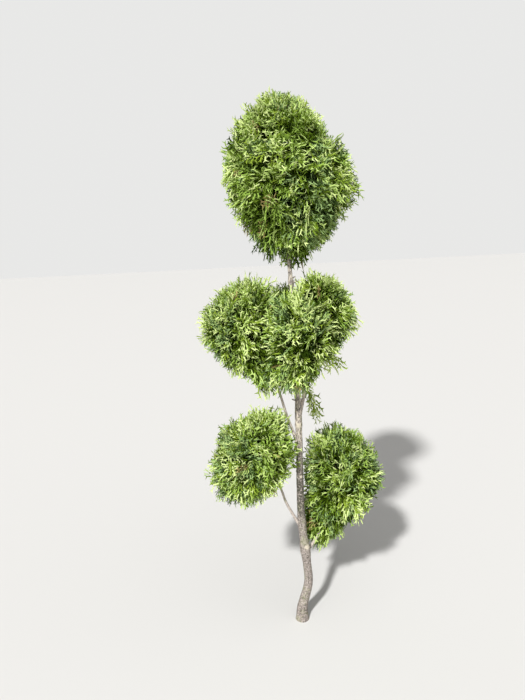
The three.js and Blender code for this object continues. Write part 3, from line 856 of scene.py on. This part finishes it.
def spray_strands(habit, random):
    """The strands of one spray of unit length in its own plane, as (line of points, young)."""
    found = []
    lean = random.uniform(-SPINE_LEAN, SPINE_LEAN)

    def turned(low, high):
        return math.radians(random.uniform(low, high))

    def step(place, angle, length, rise):
        return place + np.array([math.sin(angle), math.cos(angle), rise + lean * place[1]]) * length

    def branch(place, angle, length, side, rise):
        """A side shoot that curves forwards, with an older foot, a young end and short young forks."""
        curl = side * turned(*habit["curl"])
        young = random.random() > OLD_SHOOTS
        foot_part, middle_part, end_part = BRANCH_PARTS
        elbow = step(place, angle, length * foot_part, rise)
        middle = step(elbow, angle - curl, length * middle_part, rise)
        end = step(middle, angle - END_CURL * curl, length * end_part, rise)
        if not habit["forks"]:
            found.append(([place, elbow, end], False))
            return
        found.append(([place, elbow + (elbow - place) * FOOT_OVERLAP], False))
        found.append(([elbow, middle, end], young))
        for start, way in ((elbow, -1), (middle, 1)):
            if random.random() < habit["forks"]:
                fork_angle = angle + side * way * turned(*FORK_ANGLE)
                fork_length = length * random.uniform(*FORK_LENGTH)
                fork_rise = rise + random.uniform(-FORK_RISE, FORK_RISE)
                found.append(([start, step(start, fork_angle, fork_length, fork_rise)], young))

    spread = math.radians(habit["spread"]) * random.uniform(*SPREADS)
    bend = turned(-habit["bend"], habit["bend"])
    waist = step(np.zeros(3), -bend, SPINE_PART, 0)
    top = step(waist, bend, SPINE_PART, 0)
    first_side = random.choice((1, -1))
    for i in range(habit["shoots"]):
        share = 2 * (i + SHOOTS_FROM) / habit["shoots"]
        start = waist * share if share < 1 else waist + (top - waist) * (share - 1)
        side = first_side * (-1) ** i
        length = habit["branch"] * (1 - i * BRANCH_THINNING) * random.uniform(*BRANCH_LENGTHS)
        angle = (bend if share > 1 else -bend) + side * spread * random.uniform(*BRANCH_ANGLES)
        branch(start, angle, length, side, random.uniform(-BRANCH_RISE, BRANCH_RISE))
    branch(top, bend, SPINE_TIP, first_side, 0)
    found.append(([np.zeros(3), waist, top], False))
    return found


def spray_mesh(name, strands, ages, width):
    """The strands of these ages as one mesh, with each corner's share of the way along the spray."""
    corners, faces = [], []
    for line, young in strands:
        if young not in ages:
            continue
        made, sides = strand(line, SHOOT_WIDTH * width, SHOOT_THICKNESS * width)
        faces += [tuple(len(corners) + i for i in face) for face in sides]
        corners += made
    mesh = bpy.data.meshes.new(name)
    mesh.from_pydata([tuple(corner) for corner in corners], [], faces)
    share = np.array(corners)[:, 1]
    mesh.attributes.new("share", "FLOAT", "POINT").data.foreach_set("value", share)
    return mesh


def spray_tree():
    """Sets a spray shape on each point, turned and sized as the point says, and lets its end droop."""
    tree, given = node_tree("sprays", {"Shapes": "Collection", "Finish": "Material"})
    start = given["Geometry"]
    separate = {"Collection": given["Shapes"], "Separate Children": True, "Reset Children": True}
    shapes = start.node("GeometryNodeCollectionInfo", None, separate)
    axes = {
        "Primary Axis": read_attribute(tree, "heading", "FLOAT_VECTOR"),
        "Secondary Axis": read_attribute(tree, "across", "FLOAT_VECTOR"),
    }
    turn = start.node("FunctionNodeAxesToRotation", {"primary_axis": "Y", "secondary_axis": "X"}, axes)
    settings = {
        "Points": start,
        "Instance": shapes,
        "Pick Instance": True,
        "Instance Index": read_attribute(tree, "shape", "INT"),
        "Rotation": turn,
        "Scale": read_attribute(tree, "length"),
    }
    sprays = start.node("GeometryNodeInstanceOnPoints", None, settings)
    sprays = start.node("GeometryNodeRealizeInstances", None, {"Geometry": sprays})
    share = read_attribute(tree, "share")
    fall = share * share * read_attribute(tree, "droop") * read_attribute(tree, "length")
    offset = start.node("ShaderNodeCombineXYZ", None, {"Z": fall * -1})
    sprays = start.node("GeometryNodeSetPosition", None, {"Geometry": sprays, "Offset": offset})
    end_tree(sprays, given["Finish"])
    return tree


AGES = {"tips": (True,), "shoots": (False,), "inner": (True, False)}
shape_sets = {age: bpy.data.collections.new(f"spray_{age}") for age in AGES}
for h, (habit_name, habit) in enumerate(HABITS.items()):
    for i in range(SPRAY_SHAPES):
        strands = spray_strands(habit, np.random.default_rng(100 * h + i))
        for age, ages in AGES.items():
            if (habit_name == "inner") != (age == "inner"):
                continue
            mesh = spray_mesh(f"spray_{age}_{h}_{i:02d}", strands, ages, habit["width"])
            shape_sets[age].objects.link(bpy.data.objects.new(mesh.name, mesh))


def rotated(v, axis, angle):
    along = axis * (axis @ v) * (1 - math.cos(angle))
    return v * math.cos(angle) + np.cross(axis, v) * math.sin(angle) + along


def sideways(way, random):
    """A unit vector at right angles to a way, at a seeded turn about it."""
    return unit(np.cross(way, random.normal(size=3)))


def point_along(line, share):
    at = share * (len(line) - 1)
    return np.array([np.interp(at, np.arange(len(line)), line[:, i]) for i in range(3)])


random = np.random.default_rng(5)
rows = []


def add_spray(kind, name, root, heading, face, tone, up, reach):
    """One spray, whose flat side looks towards face. Its shape and its length follow later from its place."""
    across = unit(np.cross(heading, face))
    across = rotated(across, heading, random.normal(0, SPRAY_ROLL))
    rows.append((kind, name, root, heading, across, tone, up, reach))


def height_on(ball, point):
    return float(np.clip((point[2] - ball["centre"][2]) / ball["radii"][2], -1, 1))


def wave_field(points, size):
    """A seeded field that swings between about -1 and 1 over distances of this size."""
    ways = unit(random.normal(size=(FIELD_WAVES, 3))) * 2 * math.pi / size
    starts = random.uniform(0, 2 * math.pi, FIELD_WAVES)
    return np.sin(points @ ways.T + starts).sum(axis=1) * (2 / FIELD_WAVES) ** 0.5 / 2


for name, middle, twig, target in twig_tips:
    ball = BALLS[name]
    up = height_on(ball, target)
    radial = unit(target - axis_point(ball, target))
    lean = sideways(radial, random) * random.uniform(*FROND_LEAN)
    lift = np.interp(up, (-1, 1), FROND_LIFT) + random.normal(0, LIFT_SPREAD)
    along = unit(radial + UP * lift + lean)
    face = unit(radial - along * (radial @ along))
    face = rotated(face, along, random.normal(0, FROND_ROLL))
    frond_tone = random.random()
    frond_reach = random.random()
    for i, side in enumerate(FROND_SIDES):
        opening = random.uniform(*SPRAY_SPREAD) * (1 + FROND_OPENING * i / len(FROND_SIDES))
        heading = rotated(along, face, side * opening)
        heading = unit(heading + sideways(heading, random) * random.uniform(0, SPRAY_LEAN))
        root = point_along(twig, 1 - FROND_STRETCH * i / len(FROND_SIDES))
        tone = frond_tone * FROND_TONE + random.random() * SPRAY_TONE
        reach = (FROND_REACH * frond_reach + (1 - FROND_REACH) * random.random()) ** LOOSENESS
        add_spray("outer", name, root, heading, face, tone, up, reach)
inner_twigs = [(*twig, INNER_SPRAYS) for twig in leading_twigs]
inner_twigs += [(name, middle, twig, 1) for name, middle, twig, target in twig_tips]
inner_twigs += [(name, stem[0], stem, INNER_SPRAYS) for name, stem in stems]
leader = trunk_line[trunk_line[:, 2] > LEADER_FROM]
inner_twigs.append(("top", leader[0], leader, LEADER_SPRAYS))
for name, middle, twig, count in inner_twigs:
    for i in range(count):
        root = point_along(twig, (i + 0.5) / count)
        heading = unit(unit(twig[-1] - middle) * INNER_OUTWARDS + random.normal(size=3) * INNER_SCATTER)
        add_spray("inner", name, root, heading, sideways(heading, random), 0, 0, -1)
for points, count in LOOSE_SHOOTS:
    shoot = smooth_line(points, TWIG_STEP)
    way = unit(shoot[-1] - shoot[0])
    for i in range(count):
        root = point_along(shoot, LOOSE_FROM + (1 - LOOSE_FROM) * (i + 1) / count)
        heading = unit(way + sideways(way, random) * random.uniform(*LOOSE_SPREAD))
        tone = random.uniform(*LOOSE_TONE)
        add_spray("loose", "middle_right", root, heading, FRONT, tone, LOOSE_HEIGHT, 0)
kinds, names, *columns = zip(*rows)
outer, inner, loose = (np.array(kinds) == kind for kind in ("outer", "inner", "loose"))
names = np.array(names)
roots, headings, acrosses, tones, ups, reaches = (np.array(column) for column in columns)

# How far each spray would reach to its share of the outline, which clumps and lumps swell and dent.
clumps = wave_field(roots, CLUMP_SIZE)
droops = np.interp(ups, (-1, 1), SPRAY_DROOP) * random.uniform(*DROOP_RANGE, len(ups))
reach = np.interp(reaches, (-1, 0, 1), (INNER_REACH, *SPRAY_REACH))
sprigs = (random.random(len(reach)) < SPRIG_SHARE) & outer
reach[sprigs] = SPRIG_REACH
# Sprigs stand out past the outline, so in the painted shade they rank as light as the outermost sprays.
reaches[sprigs] = 1
ways = headings - UP * droops[:, None]
full = np.zeros(len(ups))
past = np.zeros(len(ups))
for name in BALLS:
    own = names == name
    full[own] = outline_reach(name, roots[own], ways[own]) * reach[own]
    deep = own & inner
    full[deep] = np.minimum(full[deep], outline_reach(name, roots[deep], ways[deep], INNER_LIMIT))
    tips = roots[own] + ways[own] * np.minimum(full[own], LONGEST_SPRAY)[:, None]
    past[own] = beyond_neighbours(name, tips)
full += CLUMP_SWELL * clumps * outer
lowness = np.interp(ups, (-1, HANG_OVER_BELOW), (1, 0))
full += HANG_OVER * lowness * outer * (names == "top")
ends = roots + ways * full[:, None]
push = sum(
    swell * np.exp(-((np.linalg.norm(ends - np.array(place), axis=1) / LUMP_SIZE) ** 2))
    for *place, swell in LUMPS
)
sinking = np.minimum(push + CLUMP_SWELL * clumps, 0)
full += np.where(outer, push, np.where(inner, sinking, 0))

# Its length, and its foot: out with a bulge, and back where even the shortest spray would stand out too far.
lengths = np.clip(full, SHORTEST_SPRAY, LONGEST_SPRAY)
shift = np.minimum(full - lengths, (push * outer).clip(0))
roots[outer] += (ways * shift[:, None])[outer]
lengths[~outer] = random.uniform(*INNER_LENGTH, len(ups))[~outer]
lengths = np.where(inner, np.minimum(lengths, full), lengths)

# Sprays too short inside a ball, too far in among the next ball's, or too near bare wood are left out.
clear = (full > SHORTEST_INNER) | ~inner
clear &= (past < OVER_THE_PLANE) | loose
limb_points = np.vstack([trunk_line, *bough_lines.values()])
limb_radii = np.concatenate([trunk_radii, *bough_radii.values()])
bare = np.min([ball_value(ball, limb_points) for ball in BALLS.values()], axis=0) > 1
for share in CLEAR_AT:
    at = roots + headings * (lengths * share)[:, None]
    gap = np.linalg.norm(at[:, None] - limb_points[None, bare], axis=2) - limb_radii[bare]
    clear &= gap.min(axis=1) > LIMB_CLEARANCE
    clear &= (names != "lower_right") | (at[:, 0] > TRUNK_SIDE + SIGHT_SLOPE * at[:, 1])
hangs = ups + random.normal(0, HANGING_SPREAD, len(ups)) < HANGING_BELOW
shapes = random.integers(0, SPRAY_SHAPES, len(ups)) + np.where(hangs & ~inner, SPRAY_SHAPES, 0)

# Tints by rank: the higher a spray's tone among all of them, the lighter its tint.
levels = np.array([name.split("_")[0] for name in names])
ball_tones = np.array([BALL_TONE.get(name, 0) for name in names])
# Painted shade: sprays that end deep in a ball, low on it or in a sunken clump take darker tints, and those
# at the outline, near the top or in a swelling clump lighter ones.
tones = tones + REACH_TONE * reaches + HEIGHT_TONE * ups + CLUMP_TONE * clumps + ball_tones
rank = np.zeros(len(tones))
rank[~inner] = np.argsort(np.argsort(-tones[~inner])) / (~inner).sum()
limits = np.cumsum([share for young, older, share in TINTS.values()])
tint = np.minimum(np.searchsorted(limits, rank), len(TINTS) - 1)
bluish = wave_field(roots, BLUISH_SIZE) + random.normal(0, BLUISH_SPREAD, len(tint))
green, sage = (list(TINTS).index(tint_name) for tint_name in ("green", "sage"))
either = np.isin(tint, (green, sage))
limit = np.quantile(bluish[either], (tint[either] == green).mean())
tint[either] = np.where(bluish[either] < limit, green, sage)
tint[random.random(len(tint)) < DRY_SHARE] = len(TINTS)


def spray_piece(name, chosen, level, shapes_of_age, finish):
    """The chosen sprays of one level and one colour as one piece."""
    mesh = bpy.data.meshes.new(f"{name}_places")
    mesh.from_pydata(roots[chosen].tolist(), [], [])
    for key, values in (("heading", headings), ("across", acrosses)):
        mesh.attributes.new(key, "FLOAT_VECTOR", "POINT").data.foreach_set("vector", values[chosen].ravel())
    for key, values in (("length", lengths), ("droop", droops)):
        mesh.attributes.new(key, "FLOAT", "POINT").data.foreach_set("value", values[chosen])
    mesh.attributes.new("shape", "INT", "POINT").data.foreach_set("value", shapes[chosen])
    piece = grown_piece(name, mesh, SPRAYS, {"Shapes": shapes_of_age, "Finish": finish})
    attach(piece, "root")
    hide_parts(*LEVEL_NODES[level])


SPRAYS = spray_tree()
inner_shade_finish = plain_finish("thuja_inner", INNER_SHADE_TINT, LEAF_ROUGHNESS, LEAF_GLOSS)
colours = [*[(name, young, older) for name, (young, older, share) in TINTS.items()], ("dry", *DRY_TINT)]
# Painted shade: the dark inner sprays of each level as one piece.
for level in LEVEL_NODES:
    chosen = clear & inner & (levels == level)
    spray_piece(f"{level}_inner", chosen, level, shape_sets["inner"], inner_shade_finish)
for number, (tint_name, *pair) in enumerate(colours):
    for age, colour in zip(("tips", "shoots"), pair):
        finish = plain_finish(f"thuja_{tint_name}_{age}", colour, LEAF_ROUGHNESS, LEAF_GLOSS)
        for level in LEVEL_NODES:
            chosen = clear & ~inner & (tint == number) & (levels == level)
            spray_piece(f"{level}_{tint_name}_{age}", chosen, level, shape_sets[age], finish)

# Floor and lights. A plain pale floor, a sun high in front on the left, a weak and very wide one on the right
# as the open sky, and a pale room that fills the shadows. The room looks brighter than the light it gives, so
# that the foliage keeps its depth.
FLOOR_PALE = (0.68, 0.67, 0.65)
FLOOR_ROUGHNESS = 0.9
FLOOR_HALF = 60.0
SUN_PLACE = (-0.55, -1.25, 1.15)  # it shines from here towards the origin
SUN_STRENGTH = 4.15
SUN_ANGLE = math.radians(4)
SKY_PLACE = (0.5, -0.9, 1.6)
SKY_STRENGTH = 0.9
SKY_ANGLE = math.radians(80)
ROOM_COLOUR = (0.88, 0.88, 0.87)
ROOM_LIGHT = 0.24
ROOM_LOOK = 0.92

floor_corners = [(x * FLOOR_HALF, y * FLOOR_HALF, 0) for x, y in ((-1, -1), (1, -1), (1, 1), (-1, 1))]
floor_mesh = bpy.data.meshes.new("floor")
floor_mesh.from_pydata(floor_corners, [], [(0, 1, 2, 3)])
floor = bpy.data.objects.new("floor", floor_mesh)
bpy.context.scene.collection.objects.link(floor)
floor_mesh.materials.append(plain_finish("floor", FLOOR_PALE, FLOOR_ROUGHNESS))

for name, place, strength, angle in (
    ("sun", SUN_PLACE, SUN_STRENGTH, SUN_ANGLE),
    ("soft_sky", SKY_PLACE, SKY_STRENGTH, SKY_ANGLE),
):
    light_data = bpy.data.lights.new(name, "SUN")
    light_data.energy = strength
    light_data.angle = angle
    lamp = bpy.data.objects.new(name, light_data)
    lamp.rotation_mode = "QUATERNION"
    lamp.rotation_quaternion = Vector(place).to_track_quat("Z", "Y")
    bpy.context.scene.collection.objects.link(lamp)

room = bpy.data.worlds.new("room")
room.use_nodes = True
room.node_tree.nodes.clear()
world = Socket(room.node_tree)
seen = world.node("ShaderNodeLightPath", output="Is Camera Ray")
light = world.node("ShaderNodeBackground", None, {0: (*ROOM_COLOUR, 1), 1: ROOM_LIGHT})
look = world.node("ShaderNodeBackground", None, {0: (*ROOM_COLOUR, 1), 1: ROOM_LOOK})
background = world.node("ShaderNodeMixShader", None, {0: seen, 1: light, 2: look})
world.node("ShaderNodeOutputWorld", None, {0: background})
bpy.context.scene.world = room
bpy.context.scene.view_settings.view_transform = "Standard"
